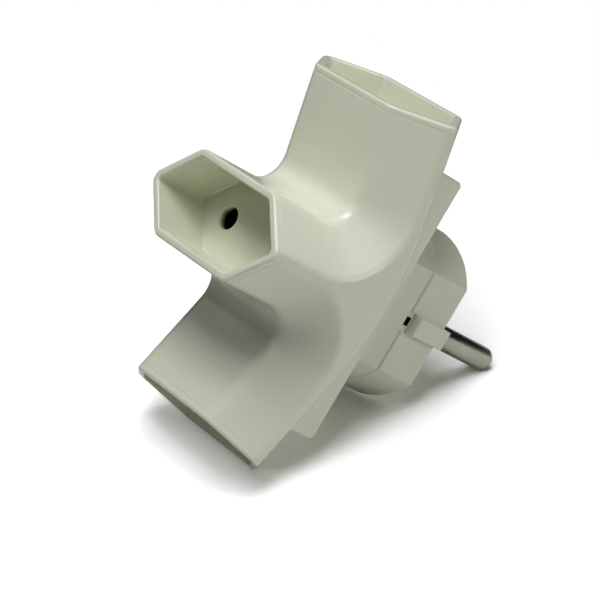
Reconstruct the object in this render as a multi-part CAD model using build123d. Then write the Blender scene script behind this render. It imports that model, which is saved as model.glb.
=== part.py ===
from build123d import *
from math import cos, hypot, radians, sin, tan
import os

# Three-way adapter for flat two-pin plugs. Sizes are in millimetres and degrees.
# The origin is the middle of the plug's face: +Y points into the wall socket, X is across and +Z is up.

# Sockets: three hexagonal tubes of one size, with their long axis across
socket_length = 41.2
socket_flat = 23.0
socket_height = 18.3
socket_wall = 1.5
recess_depth = 12.0
recess_draft = 0.3
floor_thickness = 3.5
contact_pitch = 19.0
contact_hole = 4.5
hole_lead_in = 0.3
ridge_round = 2.0
edge_round = 3.0
rim_round = 0.5
lip_round = 0.35
recess_round = 0.4
recess_end_round = 1.0
recess_corner_round = 0.6
band_height = 1.15
band_groove = 0.35
band_groove_depth = 0.06
ridge_flat = 0.16

# Where the socket mouths are: distances forward of the shell's back and up from its middle
front_run = 33.9
side_run = 12.0
side_height = 35.3
lean = 15.6
blend = 5.0
bend_radius = 55.0
chamber_blend = 3.0
mouth_overrun = 12.0

# Rear frame of the shell, and the plate that closes it
plug_depth = 19.0
frame_width = 34.0
frame_height = 54.6
frame_depth = 7.0
frame_chamfer = 0.7
frame_round = 0.4
plate_width = 30.4
plate_height = 45.2
plate_thickness = 2.2
plate_corner = 2.0
plate_gap = 0.15

# Round plug with two flats
plug_diameter = 35.0
flat_margin = 4.55
plug_wall = 1.8
cap_length = 10.4
cap_face = 4.6
parting_chamfer = 0.4
face_round = 0.8
guide_height = 3.9
guide_length = 8.7
guide_rise = 1.75
guide_round = 0.3
notch_length = 1.1
notch_height = 1.7
notch_seat_length = 1.5
notch_seat_height = 4.2
notch_seat_depth = 0.4
snap_width = 6.0
snap_thickness = 1.2
snap_length = 9.4
snap_gap = 0.5
snap_catch = 0.7
catch_length = 1.5
catch_gap = 0.3
catch_slope = 0.6

# Plug pins
plug_pin_diameter = 4.8
plug_pin_length = 19.0
plug_pin_tip = 1.7
plug_pin_gap = 0.05
neck_diameter = 5.2
collar_diameter = 6.4
collar_length = 1.7
collar_seat = 1.6
collar_gap = 0.1
tail_diameter = 2.4
tail_head_diameter = 4.0
tail_head_length = 0.8

# Busbars and spring contacts
strip_thickness = 0.8
strip_width = 4.4
foot_height = 7.6
foot_edge = 2.4
contact_thickness = 0.6
contact_length = 8.0
contact_depth = 5.1
contact_opening = 3.9
contact_flare = 0.6
contact_entry = 0.25
contact_spacing = 1.0
contact_relief = 0.3

# Pin support and screws
post_width = 9.6
post_height = 11.0
post_wall = 1.8
arm_height = 1.8
arm_thickness = 3.0
arm_gap = 0.4
arm_root = 1.0
screw_pitch = 20.4
screw_diameter = 2.9
screw_length = 10.0
screw_head_diameter = 5.6
screw_head_length = 2.2
screw_head_round = 0.9
screw_slot_width = 0.8
screw_slot_depth = 0.9
screw_gap = 0.05
screw_clearance = 0.25
boss_diameter = 6.4
pilot_tip = 1.0

# Worked out from the sizes above
half_length = socket_length / 2
half_flat = socket_flat / 2
half_height = socket_height / 2
end_run = half_length - half_flat
inner_height = half_height - socket_wall
inner_length = half_length - socket_wall * hypot(half_height, end_run) / half_height
inner_flat = inner_length - inner_height * end_run / half_height
end_angle = Vector(end_run, half_height).get_angle(Vector(1, 0))
ridge_land = ridge_round * tan(radians((90 - end_angle) / 2)) + ridge_flat / 2

# Places in the side view, drawn as (Y, Z)
front_reach = plug_depth + front_run
side_reach = plug_depth + side_run
front_mouth = Vector(-front_reach, 0)
side_mouth = Vector(-side_reach, side_height)
axis_up = Vector(-sin(radians(lean)), cos(radians(lean)))
axis_back = Vector(cos(radians(lean)), sin(radians(lean)))
axes_meet = -side_reach + side_height * tan(radians(lean))
bend_middle = axes_meet - bend_radius * (1 / cos(radians(lean)) - 1)
bend_centre = Vector(bend_middle - bend_radius, 0)
shell_back = -plug_depth
plate_front = shell_back - plate_thickness
floor_underside = recess_depth + floor_thickness
contact_x = contact_pitch / 2
plug_across = contact_pitch + 2 * flat_margin
seat_y = collar_seat - cap_face


def in_side_view(point, x=0):
    """Place a (Y, Z) point of the side view in space."""
    return Vector(x, point.X, point.Y)


def below(point):
    """The same point of the side view under the middle plane."""
    return Vector(point.X, -point.Y)


def mouth_planes():
    """The planes of the three mouths, facing out of the sockets, with their x axis across."""
    front = Plane(in_side_view(front_mouth), x_dir=(1, 0, 0), z_dir=(0, -1, 0))
    upper = Plane(in_side_view(side_mouth), x_dir=(1, 0, 0), z_dir=in_side_view(axis_up))
    lower = Plane(in_side_view(below(side_mouth)), x_dir=(1, 0, 0), z_dir=in_side_view(below(axis_up)))
    return [front, upper, lower]


def inner_corner(half):
    """Where the front tube's upper side meets the front of the upper tube, both this far from their axes."""
    tube_front = side_mouth - axis_back * half
    return tube_front + axis_up * ((half - tube_front.Y) / axis_up.Y)


def side_outline(half, corner_radius, overrun):
    """Side view of the three joined tubes, each running past its mouth by the overrun."""
    corner = inner_corner(half)
    tip = side_mouth + axis_up * overrun
    front_end = Vector(front_mouth.X - overrun, half)
    tip_front = tip - axis_back * half
    tip_back = tip + axis_back * half
    bend_start = bend_centre + axis_back * (bend_radius + half)
    upper_half = [
        Line(front_end, corner),
        Line(corner, tip_front),
        Line(tip_front, tip_back),
        Line(tip_back, bend_start),
    ]
    lower_half = [mirror(edge, Plane.XZ) for edge in upper_half]
    bend = ThreePointArc(bend_start, Vector(bend_middle + half, 0), below(bend_start))
    face = make_face(upper_half + [bend] + lower_half + [Line(front_end, below(front_end))])
    corners = [v for v in face.vertices() if abs(v.X - corner.X) < 0.01]
    return fillet(corners, corner_radius)


def joined_tubes(half, flat, length, land, corner_radius, overrun):
    """The side view drawn out to the long sides' width, then drawn in on both sides up to a narrow ridge."""
    face = side_outline(half, corner_radius, overrun)
    rise = (length - flat) * (half - land) / half
    middle = extrude(Plane.YZ.offset(-flat) * face, 2 * flat)
    flank = extrude(Plane.YZ.offset(flat) * face, rise, taper=end_angle)
    return middle + flank + mirror(flank, Plane.YZ)


def edges_across(solid, x):
    """Edges that lie in either of the two planes at this distance from the middle."""
    spans = [(edge, edge.bounding_box()) for edge in solid.edges()]
    return [edge for edge, box in spans if box.size.X < 0.01 and abs(abs(box.center().X) - x) < 0.01]


def hexagon(length, flat, height):
    """A socket's hexagon, given by its half sizes."""
    corners = [(-length, 0), (-flat, height), (flat, height), (length, 0), (flat, -height), (-flat, -height)]
    return make_face(Polyline(*corners, close=True))


def plug_section(inset=0.0):
    """Section of the plug: a circle with a flat on each side."""
    return Circle(plug_diameter / 2 - inset) & Rectangle(plug_across - 2 * inset, plug_diameter)


def across_plug(y):
    """A plane square to the plug's axis, facing into the wall, with its x axis across and its y axis up."""
    return Plane((0, y, 0), x_dir=(-1, 0, 0), z_dir=(0, 1, 0))


def block(x, y, z):
    """A box between two values on each axis."""
    size = (x[1] - x[0], y[1] - y[0], z[1] - z[0])
    return Pos((x[0] + x[1]) / 2, (y[0] + y[1]) / 2, (z[0] + z[1]) / 2) * Box(*size)


def about_middle(size):
    """The two values of a size that is centred on the middle."""
    return (-size / 2, size / 2)


def both_sides(shape):
    """A shape and its mirror image across the middle."""
    return shape + mirror(shape, Plane.YZ)


def rod(diameter, y_start, y_end, x=0, z=0):
    """A cylinder along Y."""
    return extrude(Plane((x, y_start, z), z_dir=(0, 1, 0)) * Circle(diameter / 2), y_end - y_start)


def contact_ends():
    """Each socket's axis from its mouth inwards, as (mouth plane, distance to the contact's inner end)."""
    half_width = contact_opening / 2 + contact_thickness
    inner_z = half_width + contact_spacing + half_width * sin(radians(lean))
    side_depth = (side_height - inner_z) / cos(radians(lean))
    front_depth = front_reach + plate_front - contact_spacing
    return list(zip(mouth_planes(), (front_depth, side_depth, side_depth)))


def contact_envelope():
    """The room that one right-hand contact takes up with its relief, drawn from its inner end outwards."""
    across = contact_depth + 2 * contact_relief
    high = contact_opening + 2 * (contact_thickness + contact_flare + contact_relief)
    return Pos(contact_x, 0, contact_length / 2) * Box(across, high, contact_length + 2 * contact_relief)


def mouth_face(solid, plane):
    """The flat face of a solid that lies in a mouth's plane."""
    faces = [face for face in solid.faces() if face.geom_type == GeomType.PLANE]
    return max((face for face in faces if abs(plane.to_local_coords(face.center()).Z) < 0.01
                and face.normal_at().dot(plane.z_dir) > 0.99), key=lambda face: face.area)


def rounded_hexagon(inset, corner_radius, end_radius):
    """A socket's hexagon drawn in by an inset, with rounded corners and ends."""
    height = half_height - inset
    length = half_length - inset * hypot(half_height, end_run) / half_height
    outline = hexagon(length, length - height * end_run / half_height, height)
    outline = fillet(outline.vertices().filter_by(lambda v: abs(v.Y) > 0.01), corner_radius)
    return fillet(outline.vertices().filter_by(lambda v: abs(v.Y) < 0.01), end_radius)


def rim_groove(plane):
    """The fine groove round the outside that sets off a mouth's rim band."""
    depth = band_groove_depth
    around = Rectangle(socket_length + 2 * socket_wall, socket_height + 2 * socket_wall)
    outline = rounded_hexagon(depth, edge_round - depth, ridge_round - depth)
    return extrude(plane.offset(-band_height) * (around - outline), -band_groove)


# Front shell: the three sockets, their floors and the rear frame, moulded in one piece
def make_front_shell():
    ridge_x = half_flat + end_run * (half_height - ridge_land) / half_height
    tubes = joined_tubes(half_height, half_flat, half_length, ridge_land, blend, mouth_overrun).solid()
    tubes = tubes.fillet(ridge_round, edges_across(tubes, ridge_x))
    tubes = tubes.fillet(edge_round, edges_across(tubes, half_flat))
    for plane in mouth_planes():
        tubes = split(tubes, plane, keep=Keep.BOTTOM)
        tubes = tubes - rim_groove(plane)
    frame = block(about_middle(frame_width), (shell_back - frame_depth, shell_back), about_middle(frame_height))
    frame = chamfer(frame.edges().filter_by(Axis.X).group_by(Axis.Y)[-1], frame_chamfer)
    frame = fillet(frame.edges().filter_by(Axis.Y) + frame.faces().sort_by(Axis.Y)[0].edges(), frame_round)
    shell = split(tubes, Plane((0, shell_back, 0), z_dir=(0, 1, 0)), keep=Keep.BOTTOM) + frame
    # the chamber behind the floors, open towards the plate
    chamber = joined_tubes(inner_height, inner_flat, inner_length, ridge_land, chamber_blend, -floor_underside)
    shell = shell - split(chamber, Plane((0, plate_front, 0), z_dir=(0, 1, 0)), keep=Keep.BOTTOM)
    opening = offset(RectangleRounded(plate_width, plate_height, plate_corner), plate_gap)
    shell = shell - extrude(across_plug(plate_front) * opening, plate_thickness)
    # screw bosses run from the plate to the wall between the front tube and each side tube
    boss = rod(boss_diameter, inner_corner(half_height).X, plate_front, z=screw_pitch / 2)
    pilot_end = shell_back - screw_length - pilot_tip
    pilot = rod(screw_diameter + 2 * screw_gap, pilot_end, plate_front, z=screw_pitch / 2)
    for part in (boss, mirror(boss, Plane.XY)):
        shell = shell + part
    for part in (pilot, mirror(pilot, Plane.XY)):
        shell = shell - part
    # recesses, contact holes with a lead-in, and rounded rims
    for plane in mouth_planes():
        outline = rounded_hexagon(socket_wall, recess_corner_round, recess_end_round)
        recess = extrude(plane * outline, -recess_depth, taper=recess_draft)
        floor_face = recess.faces().sort_by(Axis(plane.origin, plane.z_dir))[0]
        shell = shell - fillet(floor_face.edges(), recess_round)
        for side in (-1, 1):
            floor = plane.offset(-recess_depth) * Pos(side * contact_x, 0, 0)
            hole = floor * Pos(0, 0, -floor_thickness / 2) * Cylinder(contact_hole / 2, floor_thickness)
            lead_in = Cone(contact_hole / 2, contact_hole / 2 + hole_lead_in, hole_lead_in)
            shell = shell - hole - floor * Pos(0, 0, -hole_lead_in / 2) * lead_in
    shell = shell.solid()
    rims = [mouth_face(shell, plane) for plane in mouth_planes()]
    shell = shell.fillet(rim_round, [edge for rim in rims for edge in rim.outer_wire().edges()])
    rims = [mouth_face(shell, plane) for plane in mouth_planes()]
    return shell.fillet(lip_round, [edge for rim in rims for edge in rim.inner_wires()[0].edges()])


# Back plate: closes the shell, and carries the front half of the plug and the post behind the pins
def make_back_plate():
    outline = RectangleRounded(plate_width, plate_height, plate_corner)
    plate = extrude(across_plug(plate_front) * outline, plate_thickness)
    cup = extrude(across_plug(shell_back) * plug_section(), plug_depth - cap_length)
    cup = chamfer(cup.faces().sort_by(Axis.Y)[-1].outer_wire().edges(), parting_chamfer)
    cavity = extrude(across_plug(shell_back) * plug_section(plug_wall), plug_depth)
    part = plate + (cup - cavity)
    # a window beside the post lets each busbar through
    window_x = (post_width / 2 + arm_gap, plug_across / 2 - plug_wall)
    reach = plug_diameter / 2 - plug_wall
    window = block(window_x, (plate_front, shell_back), (-reach, reach))
    window = window & extrude(across_plug(plate_front) * plug_section(plug_wall), plate_thickness)
    part = part - both_sides(window)
    foot_back = seat_y - collar_length - strip_thickness
    # room for the side contacts, which lean back into the plate
    for plane, depth in contact_ends()[1:]:
        part = part - both_sides(plane.offset(-depth) * contact_envelope())
    post = block(about_middle(post_width), (plate_front, foot_back), about_middle(post_height))
    core_x = about_middle(post_width - 2 * post_wall)
    core_z = about_middle(post_height - 2 * post_wall)
    part = part + post - block(core_x, (plate_front, foot_back - post_wall), core_z)
    # arms of the post stand behind each pin's foot, above and below the strip
    arm_x = (post_width / 2 - arm_root, contact_x + tail_head_diameter / 2)
    arm_z = tail_head_diameter / 2 + arm_gap
    for level in (arm_z, -arm_z - arm_height):
        arm = block(arm_x, (foot_back - arm_thickness, foot_back), (level, level + arm_height))
        part = part + both_sides(arm)
    for z in (screw_pitch / 2, -screw_pitch / 2):
        part = part - rod(screw_diameter + 2 * screw_clearance, plate_front, shell_back, z=z)
    # pockets for the cap's catches
    catch_y = seat_y - collar_seat - snap_length
    pocket_top = plug_diameter / 2 - plug_wall + snap_catch
    pocket_y = (catch_y - catch_gap, catch_y + catch_length + catch_gap)
    pocket = block(about_middle(snap_width + 2 * catch_gap), pocket_y, (0, pocket_top)) - cavity
    return part - pocket - mirror(pocket, Plane.XY)


# Plug cap: the rear half of the plug, with its face, pin holes, side guides and snap legs
def make_plug_cap():
    cap = extrude(across_plug(-cap_length) * plug_section(), cap_length)
    cap = chamfer(cap.faces().sort_by(Axis.Y)[0].outer_wire().edges(), parting_chamfer)
    cap = fillet(cap.faces().sort_by(Axis.Y)[-1].outer_wire().edges(), face_round)
    cap = cap - extrude(across_plug(-cap_length) * plug_section(plug_wall), cap_length - cap_face)
    flat_x = plug_across / 2
    guide = block((flat_x - plug_wall, flat_x + guide_rise), (-guide_length, 0), about_middle(guide_height))
    guide = fillet(guide.edges().group_by(Axis.X)[-1], guide_round)
    cap = cap + both_sides(guide)
    # a notch at the joint for prising the cap off, in a shallow seat
    seat_end = notch_seat_length - cap_length
    seat = block((flat_x - notch_seat_depth, flat_x), (-cap_length, seat_end), about_middle(notch_seat_height))
    notch_end = notch_length - cap_length
    notch = block((flat_x - plug_wall, flat_x), (-cap_length, notch_end), about_middle(notch_height))
    cap = cap - both_sides(seat) - both_sides(notch)
    for x in (-contact_x, contact_x):
        cap = cap - rod(neck_diameter + 2 * plug_pin_gap, -cap_face, 0, x=x)
        cap = cap - rod(collar_diameter + 2 * collar_gap, seat_y - collar_length - collar_gap, seat_y, x=x)
    # snap legs reach into the front half, and their catches fill its pockets
    inner_radius = plug_diameter / 2 - plug_wall
    leg_top = inner_radius - snap_gap
    leg_end = -cap_face - snap_length
    leg = block(about_middle(snap_width), (leg_end, -cap_face), (leg_top - snap_thickness, leg_top))
    catch = block(about_middle(snap_width), (leg_end, leg_end + catch_length), (leg_top, leg_top + snap_catch))
    lead_edge = catch.edges().filter_by(Axis.X).sort_by(lambda edge: edge.center().Z - edge.center().Y)[-1]
    leg = leg + chamfer(lead_edge, catch_slope)
    return cap + leg + mirror(leg, Plane.XY)


# Plug pin: turned from bar, with a rounded tip, a neck in the face, a collar behind it and a riveted tail
def make_plug_pin(side):
    foot_front = seat_y - collar_length
    foot_back = foot_front - strip_thickness
    x = side * contact_x
    pin = rod(plug_pin_diameter, 0, plug_pin_length, x)
    pin = fillet(pin.edges().sort_by(Axis.Y)[-1], plug_pin_tip)
    pin = pin + rod(neck_diameter, seat_y, 0, x)
    pin = pin + rod(collar_diameter, foot_front, seat_y, x)
    pin = pin + rod(tail_diameter, foot_back, foot_front, x)
    return pin + rod(tail_head_diameter, foot_back - tail_head_length, foot_back, x)


# Spring contact: a folded channel that grips one pin, flared where the pin enters
def make_contact(plane, depth, side):
    half_opening = contact_opening / 2
    inside_x = contact_x - contact_depth / 2
    inner_end = plane.offset(-depth)
    base_width = contact_opening + 2 * contact_thickness
    base = block((inside_x, inside_x + contact_thickness), about_middle(base_width), (0, contact_length))
    flare_start = contact_length * (1 - contact_entry)
    flare_end = (half_opening + contact_flare, contact_length)
    leaf_inside = [(half_opening, 0), (half_opening, flare_start), flare_end]
    leaf_outside = [(y + contact_thickness, z) for y, z in reversed(leaf_inside)]
    leaf_face = make_face(Polyline(*leaf_inside, *leaf_outside, close=True))
    leaf = extrude(Plane((inside_x, 0, 0), x_dir=(0, 1, 0), z_dir=(1, 0, 0)) * leaf_face, contact_depth)
    contact = base + leaf + mirror(leaf, Plane.XZ)
    contact = contact if side > 0 else mirror(contact, Plane.YZ)
    return inner_end * contact


# Busbar: one pole's brass strip, with an arm under each contact and a foot for the plug pin
def make_busbar(side):
    strip_x = contact_x - contact_depth / 2 - strip_thickness
    foot_front = seat_y - collar_length
    foot_back = foot_front - strip_thickness
    strip = (strip_x, strip_x + strip_thickness)
    front_plane, front_depth = contact_ends()[0]
    spine_start = front_plane.offset(contact_length - front_depth).origin.Y
    spine = block(strip, (spine_start, foot_front), about_middle(strip_width))
    foot = block((strip_x, contact_x + foot_edge), (foot_back, foot_front), about_middle(foot_height))
    bar = spine + foot
    # a web joins the side arms to the spine
    side_plane, side_depth = contact_ends()[1]
    web_end = side_plane.offset(-side_depth).origin
    web_y = (web_end.Y - strip_width / 2, web_end.Y + strip_width / 2)
    bar = bar + block(strip, web_y, (-web_end.Z, web_end.Z))
    arm = block(strip, about_middle(strip_width), (0, contact_length))
    for plane, depth in contact_ends():
        bar = bar + plane.offset(-depth) * arm
    bar = bar - rod(tail_diameter, foot_back, foot_front, x=contact_x)
    return bar if side > 0 else mirror(bar, Plane.YZ)


# Housing screws: two pan-head screws from the plug's cavity into the shell's bosses
def make_screw(z):
    screw = rod(screw_head_diameter, shell_back, shell_back + screw_head_length, z=z)
    screw = fillet(screw.edges().sort_by(Axis.Y)[-1], screw_head_round)
    screw = screw + rod(screw_diameter, shell_back - screw_length, shell_back, z=z)
    top = shell_back + screw_head_length
    slot_y = (top - screw_slot_depth, top)
    slot = block(about_middle(screw_head_diameter), slot_y, about_middle(screw_slot_width))
    return screw - Pos(0, 0, z) * slot


sides = {"left": -1, "right": 1}
nodes = {
    "front_shell": make_front_shell(),
    "back_plate": make_back_plate(),
    "plug_cap": make_plug_cap(),
    "housing_screws": Compound([make_screw(z).solid() for z in (screw_pitch / 2, -screw_pitch / 2)]),
}
for name, side in sides.items():
    nodes[f"plug_pin_{name}"] = make_plug_pin(side)
    nodes[f"busbar_{name}"] = make_busbar(side)
    for socket, (plane, depth) in zip(("front", "upper", "lower"), contact_ends()):
        nodes[f"{socket}_contact_{name}"] = make_contact(plane, depth, side)

os.makedirs("parts", exist_ok=True)
for name, shape in nodes.items():
    export_step(shape, f"parts/{name}.step")
    print(name, len(shape.solids()), round(shape.volume, 1), shape.is_valid)
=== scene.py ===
# %% [markdown]
# # A three-way mains adapter
# The object is a small moulded adapter: a round two-pin plug carries three flat hexagonal
# sockets, one facing forward, one up and one down. The solids come from the CAD model and are
# loaded as a fixed frame, in metres. This lesson gives them their camera, floor, light and
# finishes. Everything that is added is placed in the same frame, so nothing has to be fitted.

# %% Load the frame
import math

import bpy
from mathutils import Matrix, Quaternion, Vector


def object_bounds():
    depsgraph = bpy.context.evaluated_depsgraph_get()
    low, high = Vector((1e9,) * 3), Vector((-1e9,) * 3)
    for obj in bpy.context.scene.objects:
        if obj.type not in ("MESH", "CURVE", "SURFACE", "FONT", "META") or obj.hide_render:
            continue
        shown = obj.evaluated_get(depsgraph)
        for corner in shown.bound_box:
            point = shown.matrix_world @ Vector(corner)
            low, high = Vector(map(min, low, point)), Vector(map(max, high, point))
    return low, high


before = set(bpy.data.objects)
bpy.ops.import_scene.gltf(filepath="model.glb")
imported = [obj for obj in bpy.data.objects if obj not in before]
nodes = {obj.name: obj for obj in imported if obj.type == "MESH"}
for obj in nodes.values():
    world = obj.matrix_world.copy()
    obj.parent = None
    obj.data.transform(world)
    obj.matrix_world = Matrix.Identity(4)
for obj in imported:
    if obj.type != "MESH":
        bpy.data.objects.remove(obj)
cad_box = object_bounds()
bpy.ops.object.select_all(action="DESELECT")
print("nodes:", sorted(nodes))
print("CAD box in mm:", [round(1000 * c, 2) for corner in cad_box for c in corner])

# %% [markdown]
# The camera stands in front of the adapter and to its right, a little above its middle, and is
# turned about its own line of sight, because the adapter was lying on a table when it was
# photographed. A long lens keeps the sides of the sockets nearly parallel. The place, the turn
# and the lens were found by matching known sizes, such as the pins' diameter and spacing.

# %% Camera
camera_place = Vector((0.37513, -0.38060, 0.02755))
camera_azimuth = math.radians(46.4013)
camera_elevation = math.radians(3.7897)
camera_turn = math.radians(30.5200)
camera_lens = 166.44

camera_data = bpy.data.cameras.new("camera")
camera_data.lens = camera_lens
camera_data.sensor_width = 36.0
camera_data.clip_start = 0.01
camera_data.clip_end = 20.0
camera = bpy.data.objects.new("camera", camera_data)
bpy.context.scene.collection.objects.link(camera)
towards_camera = Vector((
    math.sin(camera_azimuth) * math.cos(camera_elevation),
    -math.cos(camera_azimuth) * math.cos(camera_elevation),
    math.sin(camera_elevation),
))
level_view = (-towards_camera).to_track_quat("-Z", "Y")
camera.rotation_mode = "QUATERNION"
camera.rotation_quaternion = level_view @ Quaternion((0.0, 0.0, 1.0), camera_turn)
camera.location = camera_place
bpy.context.scene.camera = camera
print("camera to plug face in mm:", round(1000 * camera_place.length, 1))

# %% [markdown]
# The adapter lies tipped on the back edge of its lower socket and on the tips of its pins. The
# table is therefore a sloping plane in this frame, a plain pale sheet that catches the soft
# shadow.

# %% Table
table_tilt = math.radians(41.2)
table_reach = 0.6
table_up = Vector((0.0, -math.sin(table_tilt), math.cos(table_tilt)))
lowest = min(table_up.dot(v.co) for o in nodes.values() for v in o.data.vertices)
camera_right = camera.rotation_quaternion @ Vector((1.0, 0.0, 0.0))
table_right = (camera_right - table_up * camera_right.dot(table_up)).normalized()
table_front = table_right.cross(table_up)
table_axes = Matrix((table_right, -table_front, table_up)).transposed()
middle = (cad_box[0] + cad_box[1]) / 2
under_middle = middle + table_up * (lowest - table_up.dot(middle))

bpy.ops.mesh.primitive_circle_add(vertices=96, radius=table_reach, fill_type="NGON")
table = bpy.context.object
table.name = "table"
table.rotation_mode = "QUATERNION"
table.rotation_quaternion = table_axes.to_quaternion()
table.location = under_middle
print("table under the middle, in mm:", [round(1000 * c, 1) for c in under_middle])


# %% [markdown]
# Materials are built from nodes. Four small helpers keep that readable: one makes a node and sets
# its properties, one makes an empty material, one makes a Math node whose inputs are either
# sockets or plain numbers, and one tells which rays see the surroundings.

# %% Small helpers for materials
def add_node(tree, kind, **values):
    """A node of that kind with its properties set."""
    node = tree.nodes.new(kind)
    for name, value in values.items():
        setattr(node, name, value)
    return node


def new_material(name):
    """An empty node material with its output, and the tree."""
    material = bpy.data.materials.new(name)
    material.use_nodes = True
    tree = material.node_tree
    tree.nodes.clear()
    output = add_node(tree, "ShaderNodeOutputMaterial")
    return material, tree, output


def maths(tree, operation, a, b=None, clamp=False):
    """A Math node. Its inputs are sockets or numbers."""
    node = add_node(tree, "ShaderNodeMath", operation=operation, use_clamp=clamp)
    for socket, value in zip(node.inputs, (a, b)):
        if value is None:
            continue
        if isinstance(value, (int, float)):
            socket.default_value = value
        else:
            tree.links.new(value, socket)
    return node.outputs[0]


def seen_rays(tree):
    """The Light Path node, and 1 for camera, glossy and transmission rays."""
    path = add_node(tree, "ShaderNodeLightPath")
    direct = maths(tree, "MAXIMUM", path.outputs["Is Camera Ray"], path.outputs["Is Glossy Ray"])
    return path, maths(tree, "MAXIMUM", direct, path.outputs["Is Transmission Ray"])


print("helpers ready")

# %% [markdown]
# The table has two colours. The Light Path node tells which ray asks: to the camera the table is
# white, so that it meets the white background, and the light it throws back on the adapter is that
# of a light grey sheet. A distance mask fades it out away from the adapter, and the Backfacing
# output makes it clear from below, so that the plug can be looked at from behind.

# %% Table finish
table_colour = (0.55, 0.58, 0.56, 1.0)
table_seen_colour = (1.33, 1.33, 1.36, 1.0)
table_lift = 0.01
fade_from = 0.075
fade_to = 0.120

table_finish, tree, output = new_material("pale_table")
card = add_node(tree, "ShaderNodeBsdfDiffuse")
lift = add_node(tree, "ShaderNodeEmission")
path, seen = seen_rays(tree)
shade = add_node(tree, "ShaderNodeMix", data_type="RGBA")
tree.links.new(path.outputs["Is Camera Ray"], shade.inputs["Factor"])
shade.inputs[6].default_value = table_colour
shade.inputs[7].default_value = table_seen_colour
tree.links.new(shade.outputs[2], card.inputs["Color"])
tree.links.new(maths(tree, "MULTIPLY", seen, table_lift), lift.inputs["Strength"])
lifted = add_node(tree, "ShaderNodeAddShader")
tree.links.new(card.outputs[0], lifted.inputs[0])
tree.links.new(lift.outputs[0], lifted.inputs[1])
place = add_node(tree, "ShaderNodeTexCoord")
distance = add_node(tree, "ShaderNodeVectorMath", operation="LENGTH")
tree.links.new(place.outputs["Object"], distance.inputs[0])
fade = add_node(tree, "ShaderNodeMapRange", interpolation_type="SMOOTHSTEP")
fade.inputs["From Min"].default_value = fade_from
fade.inputs["From Max"].default_value = fade_to
tree.links.new(distance.outputs["Value"], fade.inputs["Value"])
side = add_node(tree, "ShaderNodeNewGeometry")
clear = maths(tree, "MAXIMUM", fade.outputs["Result"], side.outputs["Backfacing"])
clear = maths(tree, "MULTIPLY", clear, seen)
nothing = add_node(tree, "ShaderNodeBsdfTransparent")
mix = add_node(tree, "ShaderNodeMixShader")
tree.links.new(clear, mix.inputs[0])
tree.links.new(lifted.outputs[0], mix.inputs[1])
tree.links.new(nothing.outputs[0], mix.inputs[2])
tree.links.new(mix.outputs[0], output.inputs["Surface"])
table.data.materials.append(table_finish)
print("table finish:", table_finish.name)

# %% [markdown]
# The light is a photographer's product light. Lamps are placed by their height above the table and
# by their bearing, which is 0 at the front and 90 at the right. An area lamp spreads its power, so
# the power is worked out from the distance and from the light wanted on a sheet that faces it.
# Light linking says which things a lamp lights, and which things cast a shadow in its light.

# %% Lamp helpers
def on_table_axes(distance, elevation, bearing):
    """A point round the adapter's middle, by its elevation above the table and its bearing."""
    rise = math.radians(elevation)
    turn = math.radians(bearing)
    level = table_right * math.sin(turn) + table_front * math.cos(turn)
    return middle + (level * math.cos(rise) + table_up * math.sin(rise)) * distance


def soft_box(name, place, size, level):
    """A square lamp aimed at the adapter. Level is the light on a sheet that faces it."""
    data = bpy.data.lights.new(name, "AREA")
    data.size = size
    data.energy = level * math.pi * (place - middle).length_squared
    lamp = bpy.data.objects.new(name, data)
    bpy.context.scene.collection.objects.link(lamp)
    lamp.location = place
    lamp.visible_camera = False
    lamp.rotation_mode = "QUATERNION"
    lamp.rotation_quaternion = (place - middle).to_track_quat("Z", "Y")
    return lamp


def link_table(name, state):
    """A collection for light linking that holds the table, as INCLUDE or EXCLUDE."""
    group = bpy.data.collections.new(name)
    group.objects.link(table)
    group.collection_objects[0].light_linking.link_state = state
    return group


table_alone = link_table("table_alone", "INCLUDE")
all_but_table = link_table("all_but_table", "EXCLUDE")
print("light linking:", table_alone.name, all_but_table.name)

# %% [markdown]
# Four small boxes hang close above the adapter, so that its upper socket gets more light than its
# lower one, and a card low at the right opens the shadows there. One lamp stands behind at the
# left, below the table's level, for the back: the table neither takes nor blocks its light. The
# table has its own lamps, a wide one overhead and two at the front left, which set how soft its
# shadow is and where it falls.

# %% Lamps
object_lamps = [
    soft_box("middle_box", on_table_axes(0.50, 90.0, 0.0), 0.15, 0.43),
    soft_box("front_box", on_table_axes(0.50, 76.0, 0.0), 0.21, 1.06),
    soft_box("left_box", on_table_axes(0.60, 76.0, 270.0), 0.21, 0.45),
    soft_box("back_box", on_table_axes(0.60, 76.0, 180.0), 0.21, 0.36),
    soft_box("right_card", on_table_axes(0.80, 4.0, 60.0), 0.40, 0.84),
]
rear_lamp = soft_box("rear_box", middle + Vector((-0.48, 0.64, 0.0)), 0.30, 0.80)
rear_lamp.visible_glossy = False
rear_lamp.light_linking.blocker_collection = all_but_table
for lamp in object_lamps + [rear_lamp]:
    lamp.light_linking.receiver_collection = all_but_table

table_lamps = [
    soft_box("table_box", on_table_axes(1.2, 90.0, 0.0), 0.80, 2.25),
    soft_box("table_front_box", on_table_axes(1.2, 60.0, 340.0), 0.45, 0.90),
    soft_box("table_low_box", on_table_axes(1.2, 30.0, 315.0), 0.30, 0.50),
]
for lamp in table_lamps:
    lamp.light_linking.receiver_collection = table_alone
print("lamps:", [lamp.name for lamp in object_lamps + [rear_lamp] + table_lamps])

# %% [markdown]
# The world is white to the camera and in reflections, which gives the white background, and nearly
# black to all other rays, so that it adds no light of its own. The Standard view shows colours as
# they are.

# %% Surround
surround_level = 0.012
surround_colour = (0.95, 0.98, 1.0, 1.0)

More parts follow.
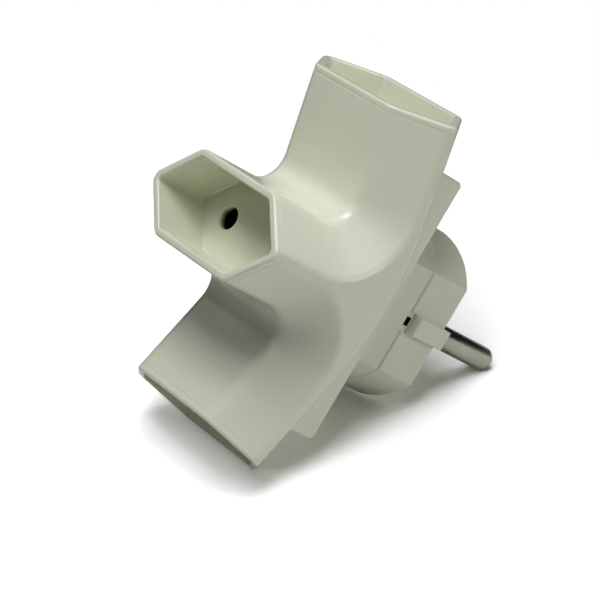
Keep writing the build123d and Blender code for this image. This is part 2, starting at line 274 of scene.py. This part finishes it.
world = bpy.data.worlds.new("surround")
bpy.context.scene.world = world
world.use_nodes = True
tree = world.node_tree
tree.nodes.clear()
output = add_node(tree, "ShaderNodeOutputWorld")
fill = add_node(tree, "ShaderNodeBackground")
fill.inputs["Color"].default_value = surround_colour
fill.inputs["Strength"].default_value = surround_level
white = add_node(tree, "ShaderNodeBackground")
white.inputs["Color"].default_value = (1.0, 1.0, 1.0, 1.0)
path, seen = seen_rays(tree)
mix = add_node(tree, "ShaderNodeMixShader")
tree.links.new(seen, mix.inputs[0])
tree.links.new(fill.outputs[0], mix.inputs[1])
tree.links.new(white.outputs[0], mix.inputs[2])
tree.links.new(mix.outputs[0], output.inputs["Surface"])
bpy.context.scene.view_settings.view_transform = "Standard"
print("world:", world.name)

# %% [markdown]
# White surroundings would wash out every grazing reflection. Black flags stand all round, beyond
# the edge of the picture, so that the rims and the pins get a dark contour. They are seen in
# reflections alone: they throw no shadow and the camera doesn't see them.

# %% Black flags
flag_distance = 1.4
flag_width = 2.8
flag_height = 2.3

flag_finish, tree, output = new_material("black_flag")
cloth = add_node(tree, "ShaderNodeBsdfDiffuse")
cloth.inputs["Color"].default_value = (0.01, 0.01, 0.01, 1.0)
tree.links.new(cloth.outputs[0], output.inputs["Surface"])


def black_flag(name, bearing):
    """A black card that stands on edge and faces the adapter, and that only reflections see."""
    bpy.ops.mesh.primitive_plane_add(size=1.0)
    flag = bpy.context.object
    flag.name = name
    flag.scale = (flag_width, flag_height, 1.0)
    flag.location = on_table_axes(flag_distance, 0.0, bearing)
    flag.rotation_mode = "QUATERNION"
    facing = (middle - flag.location).normalized()
    flag_axes = Matrix((table_up.cross(facing), table_up, facing)).transposed()
    flag.rotation_quaternion = flag_axes.to_quaternion()
    flag.data.materials.append(flag_finish)
    flag.visible_camera = False
    flag.visible_diffuse = False
    flag.visible_shadow = False
    flag.visible_transmission = False
    return flag


flag_bearings = {"flag_front": 0.0, "flag_left": 270.0, "flag_right": 90.0, "flag_back": 180.0}
flags = [black_flag(name, bearing) for name, bearing in flag_bearings.items()]
bpy.ops.object.select_all(action="DESELECT")
print("flags:", [flag.name for flag in flags])

# %% [markdown]
# All the plastic is one ivory moulding compound. A moulded skin is never quite even: the colour
# drifts a little over centimetres, the gloss varies where the melt met the tool, and the skin
# has a shallow peel about a millimetre across. These effects are one node group, so the shell and
# the plug can use it with their own values.

# %% The moulded skin group
flow_stretch = (1.0, 0.25, 1.0)
gloss_scale = 320.0


def new_group(name, inputs, outputs):
    """A shader node group with its sockets, given as (name, socket type, default)."""
    group = bpy.data.node_groups.new(name, "ShaderNodeTree")
    for title, kind, default in inputs:
        socket = group.interface.new_socket(title, in_out="INPUT", socket_type=kind)
        if default is not None:
            socket.default_value = default
    for title, kind in outputs:
        group.interface.new_socket(title, in_out="OUTPUT", socket_type=kind)
    entry = add_node(group, "NodeGroupInput")
    leave = add_node(group, "NodeGroupOutput")
    return group, entry, leave


def noise(tree, vector, scale, detail=2.0, roughness=0.5):
    """A noise on that vector. Scale is in cycles per metre."""
    node = add_node(tree, "ShaderNodeTexNoise")
    tree.links.new(vector, node.inputs["Vector"])
    if isinstance(scale, (int, float)):
        node.inputs["Scale"].default_value = scale
    else:
        tree.links.new(scale, node.inputs["Scale"])
    node.inputs["Detail"].default_value = detail
    node.inputs["Roughness"].default_value = roughness
    return node.outputs[0]


skin, entry, leave = new_group(
    "moulded_skin",
    [("Vector", "NodeSocketVector", None), ("Peel Scale", "NodeSocketFloat", 1500.0),
     ("Drift Scale", "NodeSocketFloat", 45.0)],
    [("Drift", "NodeSocketFloat"), ("Gloss", "NodeSocketFloat"), ("Peel", "NodeSocketFloat")],
)
drift = noise(skin, entry.outputs["Vector"], entry.outputs["Drift Scale"], 3.0)
flow = add_node(skin, "ShaderNodeMapping")
flow.inputs["Scale"].default_value = flow_stretch
skin.links.new(entry.outputs["Vector"], flow.inputs["Vector"])
gloss = noise(skin, flow.outputs[0], gloss_scale, 4.0, 0.6)
peel = noise(skin, entry.outputs["Vector"], entry.outputs["Peel Scale"], 0.0)
skin.links.new(drift, leave.inputs["Drift"])
skin.links.new(gloss, leave.inputs["Gloss"])
skin.links.new(peel, leave.inputs["Peel"])
print("group:", skin.name)

# %% [markdown]
# The walls of the contact holes and the small notch at the plug's joint are painted dark. This is
# painted shade, for the shade that falls deep in these hollows. Both are masks on Object
# coordinates:
# how far a point is from a hole's axis and how deep it is under the floor of its socket, or whether
# it is in the notch. The upper and lower sockets mirror each other, so their height is taken
# without its sign.

# %% Painted shade in the holes and the notch
contact_x = 0.0095
mark_reach = 0.0026
front_floor = -0.0409
side_mouth_y = -0.0310
side_mouth_z = 0.0353
side_lean = math.radians(15.6)
floor_depth = 0.0120
mark_from = 0.0002
mark_to = 0.0018


def soft_step(tree, value, start, stop):
    """0 before start and 1 after stop."""
    node = add_node(tree, "ShaderNodeMapRange", interpolation_type="SMOOTHSTEP")
    node.inputs["From Min"].default_value = start
    node.inputs["From Max"].default_value = stop
    tree.links.new(value, node.inputs["Value"])
    return node.outputs["Result"]


def apart(tree, a, b):
    """The length of a side-by-side pair of distances."""
    squares = maths(tree, "ADD", maths(tree, "MULTIPLY", a, a), maths(tree, "MULTIPLY", b, b))
    return maths(tree, "SQRT", squares)


def coordinates(tree, entry):
    """The group's vector as its three numbers."""
    parts = add_node(tree, "ShaderNodeSeparateXYZ")
    tree.links.new(entry.outputs["Vector"], parts.inputs[0])
    return parts.outputs


def in_hole(tree, off_axis, depth):
    """Painted shade that grows with the depth below the floor, near the hole's axis."""
    near = maths(tree, "LESS_THAN", off_axis, mark_reach)
    return maths(tree, "MULTIPLY", near, soft_step(tree, depth, mark_from, mark_to))


# Painted shade: the hole walls darken with depth below the socket floor, for the shade inside the
# holes.
hole_painted_shade, entry, leave = new_group(
    "hole_painted_shade", [("Vector", "NodeSocketVector", None)], [("Mark", "NodeSocketFloat")])
x, y, z = coordinates(hole_painted_shade, entry)
beside = maths(hole_painted_shade, "SUBTRACT", maths(hole_painted_shade, "ABSOLUTE", x), contact_x)
below_front = maths(hole_painted_shade, "SUBTRACT", y, front_floor)
front = in_hole(hole_painted_shade, apart(hole_painted_shade, beside, z), below_front)
back = maths(hole_painted_shade, "SUBTRACT", y, side_mouth_y)
above = maths(hole_painted_shade, "SUBTRACT", maths(hole_painted_shade, "ABSOLUTE", z), side_mouth_z)
across = maths(hole_painted_shade, "ADD", maths(hole_painted_shade, "MULTIPLY", back, math.cos(side_lean)),
               maths(hole_painted_shade, "MULTIPLY", above, math.sin(side_lean)))
inwards = maths(hole_painted_shade, "SUBTRACT", maths(hole_painted_shade, "MULTIPLY", back, math.sin(side_lean)),
                maths(hole_painted_shade, "MULTIPLY", above, math.cos(side_lean)))
below_sides = maths(hole_painted_shade, "SUBTRACT", inwards, floor_depth)
sides = in_hole(hole_painted_shade, apart(hole_painted_shade, beside, across), below_sides)
hole_painted_shade.links.new(maths(hole_painted_shade, "MAXIMUM", front, sides), leave.inputs["Mark"])

notch_x = (0.0121, 0.01395)
notch_y = (-0.0106, -0.0092)
notch_z = 0.0009


def between(tree, value, limits):
    """1 where the value lies between the limits."""
    over = maths(tree, "GREATER_THAN", value, limits[0])
    return maths(tree, "MULTIPLY", over, maths(tree, "LESS_THAN", value, limits[1]))


# Painted shade: the inside of the notch is darkened, for the shade in it.
notch_painted_shade, entry, leave = new_group(
    "notch_painted_shade", [("Vector", "NodeSocketVector", None)], [("Mark", "NodeSocketFloat")])
x, y, z = coordinates(notch_painted_shade, entry)
within = between(notch_painted_shade, maths(notch_painted_shade, "ABSOLUTE", x), notch_x)
low_enough = maths(notch_painted_shade, "LESS_THAN", maths(notch_painted_shade, "ABSOLUTE", z), notch_z)
both = maths(notch_painted_shade, "MULTIPLY", within, low_enough)
notch_painted_shade.links.new(
    maths(notch_painted_shade, "MULTIPLY", both, between(notch_painted_shade, y, notch_y)), leave.inputs["Mark"])
print("groups:", hole_painted_shade.name, notch_painted_shade.name)

# %% [markdown]
# Both plastics are a Principled shader with a little subsurface light, which softens the shading of
# thin walls. The skin group drives its colour, roughness and bump, and painted shade in the holes
# and the notch darkens the colour.
# The shell is glossier than the plug. Each roughness range stays on one side of about 0.27: a range
# that crossed it left smudges on the plug, probably because Cycles hands smoother and rougher
# surfaces to its denoiser in different ways.

# %% Ivory plastic
plastic_ior = 1.49
peel_strength = 0.10
glow_weight = 0.35
glow_radius = (1.0, 0.9, 0.6)
glow_depth = 0.0015
# The dark colour of the painted shade in the holes and the notch.
painted_shade_colour = (0.012, 0.012, 0.010)
noise_low = 0.3
noise_high = 0.7


def ramp(tree, factor, low, high):
    """A colour that runs from low to high over the same range."""
    node = add_node(tree, "ShaderNodeValToRGB")
    first, last = node.color_ramp.elements
    first.position, first.color = noise_low, (*low, 1.0)
    last.position, last.color = noise_high, (*high, 1.0)
    tree.links.new(factor, node.inputs["Fac"])
    return node.outputs["Color"]


def spread(tree, factor, low, high):
    """A value that runs from low to high over the range that a noise mostly keeps to."""
    node = add_node(tree, "ShaderNodeMapRange")
    node.inputs["From Min"].default_value = noise_low
    node.inputs["From Max"].default_value = noise_high
    node.inputs["To Min"].default_value = low
    node.inputs["To Max"].default_value = high
    tree.links.new(factor, node.inputs["Value"])
    return node.outputs["Result"]


def place_group(tree, group, **values):
    """The group in a material, on Object coordinates, with its own values."""
    node = add_node(tree, "ShaderNodeGroup", node_tree=group)
    where = add_node(tree, "ShaderNodeTexCoord")
    tree.links.new(where.outputs["Object"], node.inputs["Vector"])
    for title, value in values.items():
        node.inputs[title.replace("_", " ")].default_value = value
    return node


def bumped(tree, height, strength, depth):
    """A normal from that height. Depth is in metres."""
    node = add_node(tree, "ShaderNodeBump")
    node.inputs["Strength"].default_value = strength
    node.inputs["Distance"].default_value = depth
    tree.links.new(height, node.inputs["Height"])
    return node.outputs["Normal"]


def darkened(tree, colour, shade_mask, dark):
    """The colour, replaced by a dark painted shade where the mask is 1."""
    node = add_node(tree, "ShaderNodeMix", data_type="RGBA")
    tree.links.new(shade_mask, node.inputs["Factor"])
    tree.links.new(colour, node.inputs[6])
    node.inputs[7].default_value = (*dark, 1.0)
    return node.outputs[2]


def ivory(name, low, high, rough, peel_scale, peel_depth, shade_group):
    """A moulded ivory plastic: colour and roughness ranges, peel, and the group that paints shade
    into its hollows.
    """
    material, tree, output = new_material(name)
    shader = add_node(tree, "ShaderNodeBsdfPrincipled")
    shader.inputs["IOR"].default_value = plastic_ior
    shader.inputs["Subsurface Weight"].default_value = glow_weight
    shader.inputs["Subsurface Radius"].default_value = glow_radius
    shader.inputs["Subsurface Scale"].default_value = glow_depth
    coat = place_group(tree, skin, Peel_Scale=peel_scale)
    shade_mask = place_group(tree, shade_group).outputs["Mark"]
    colour = ramp(tree, coat.outputs["Drift"], low, high)
    tree.links.new(darkened(tree, colour, shade_mask, painted_shade_colour), shader.inputs["Base Color"])
    tree.links.new(spread(tree, coat.outputs["Gloss"], *rough), shader.inputs["Roughness"])
    normal = bumped(tree, coat.outputs["Peel"], peel_strength, peel_depth)
    tree.links.new(normal, shader.inputs["Normal"])
    tree.links.new(shader.outputs[0], output.inputs["Surface"])
    return material


shell_plastic = ivory(
    "ivory_shell", (0.815, 0.835, 0.690), (0.845, 0.865, 0.720), (0.17, 0.23),
    800.0, 0.00002, hole_painted_shade)
# The plug's copy of the ivory is a little darker than the shell's: painted shade, for the shade the
# plug lies in behind the shell.
shaded_plug_plastic = ivory(
    "shaded_ivory_plug", (0.742, 0.752, 0.612), (0.772, 0.782, 0.642), (0.285, 0.355),
    1000.0, 0.00002, notch_painted_shade)
print("plastics:", shell_plastic.name, shaded_plug_plastic.name)

# %% [markdown]
# The pins are turned brass with a bright nickel plate. Turning leaves fine rings round the axis,
# and use leaves faint rub marks along it. The strips and contacts inside are rolled brass with
# light tarnish, and the screws are zinc-plated steel. One group draws the worked metal surface.

# %% The worked metal group
ring_stretch = (0.02, 1.0, 0.02)
rub_stretch = (1.0, 0.05, 1.0)
rub_scale = 2200.0

worked, entry, leave = new_group(
    "worked_metal",
    [("Vector", "NodeSocketVector", None), ("Ring Scale", "NodeSocketFloat", 4000.0),
     ("Patch Scale", "NodeSocketFloat", 160.0)],
    [("Rings", "NodeSocketFloat"), ("Patches", "NodeSocketFloat"), ("Rubs", "NodeSocketFloat")],
)
across = add_node(worked, "ShaderNodeMapping")
across.inputs["Scale"].default_value = ring_stretch
worked.links.new(entry.outputs["Vector"], across.inputs["Vector"])
rings = noise(worked, across.outputs[0], entry.outputs["Ring Scale"], 2.0)
along = add_node(worked, "ShaderNodeMapping")
along.inputs["Scale"].default_value = rub_stretch
worked.links.new(entry.outputs["Vector"], along.inputs["Vector"])
rubs = noise(worked, along.outputs[0], rub_scale, 3.0)
patches = noise(worked, entry.outputs["Vector"], entry.outputs["Patch Scale"], 4.0)
worked.links.new(rings, leave.inputs["Rings"])
worked.links.new(patches, leave.inputs["Patches"])
worked.links.new(rubs, leave.inputs["Rubs"])
print("group:", worked.name)

# %% [markdown]
# A metal is the Principled shader with Metallic at 1. Its base colour is then the colour of its
# reflections. The patches drive the colour, the rubs the roughness and the rings the bump.

# %% Metals
ring_strength = 0.4


def metal(name, low, high, rough, ring_scale, ring_depth):
    """A worked metal: its colour range, roughness range and the rings left by the tool."""
    material, tree, output = new_material(name)
    shader = add_node(tree, "ShaderNodeBsdfPrincipled")
    shader.inputs["Metallic"].default_value = 1.0
    surface = place_group(tree, worked, Ring_Scale=ring_scale)
    colour = ramp(tree, surface.outputs["Patches"], low, high)
    tree.links.new(colour, shader.inputs["Base Color"])
    tree.links.new(spread(tree, surface.outputs["Rubs"], *rough), shader.inputs["Roughness"])
    normal = bumped(tree, surface.outputs["Rings"], ring_strength, ring_depth)
    tree.links.new(normal, shader.inputs["Normal"])
    tree.links.new(shader.outputs[0], output.inputs["Surface"])
    return material


pin_metal = metal(
    "nickel_pins", (0.52, 0.51, 0.42), (0.62, 0.61, 0.51), (0.17, 0.26), 3000.0, 0.000004)
strip_brass = metal(
    "rolled_brass", (0.55, 0.40, 0.16), (0.66, 0.50, 0.22), (0.285, 0.42), 2500.0, 0.00001)
contact_brass = metal(
    "spring_brass", (0.58, 0.43, 0.18), (0.70, 0.54, 0.25), (0.285, 0.38), 3000.0, 0.00001)
screw_steel = metal(
    "zinc_screws", (0.50, 0.50, 0.50), (0.62, 0.62, 0.60), (0.285, 0.40), 3500.0, 0.00001)
print("metals:", pin_metal.name, strip_brass.name, contact_brass.name, screw_steel.name)

# %% [markdown]
# Each node of the frame gets the finish of the piece it is, found by the start of its name.

# %% Give every node its finish
finishes = {
    "front_shell": shell_plastic,
    "back_plate": shaded_plug_plastic,
    "plug_cap": shaded_plug_plastic,
    "plug_pin": pin_metal,
    "busbar": strip_brass,
    "front_contact": contact_brass,
    "upper_contact": contact_brass,
    "lower_contact": contact_brass,
    "housing_screws": screw_steel,
}
for name, node in nodes.items():
    finish = next(f for start, f in finishes.items() if name.startswith(start))
    node.data.materials.clear()
    node.data.materials.append(finish)
    print(name, "->", finish.name)
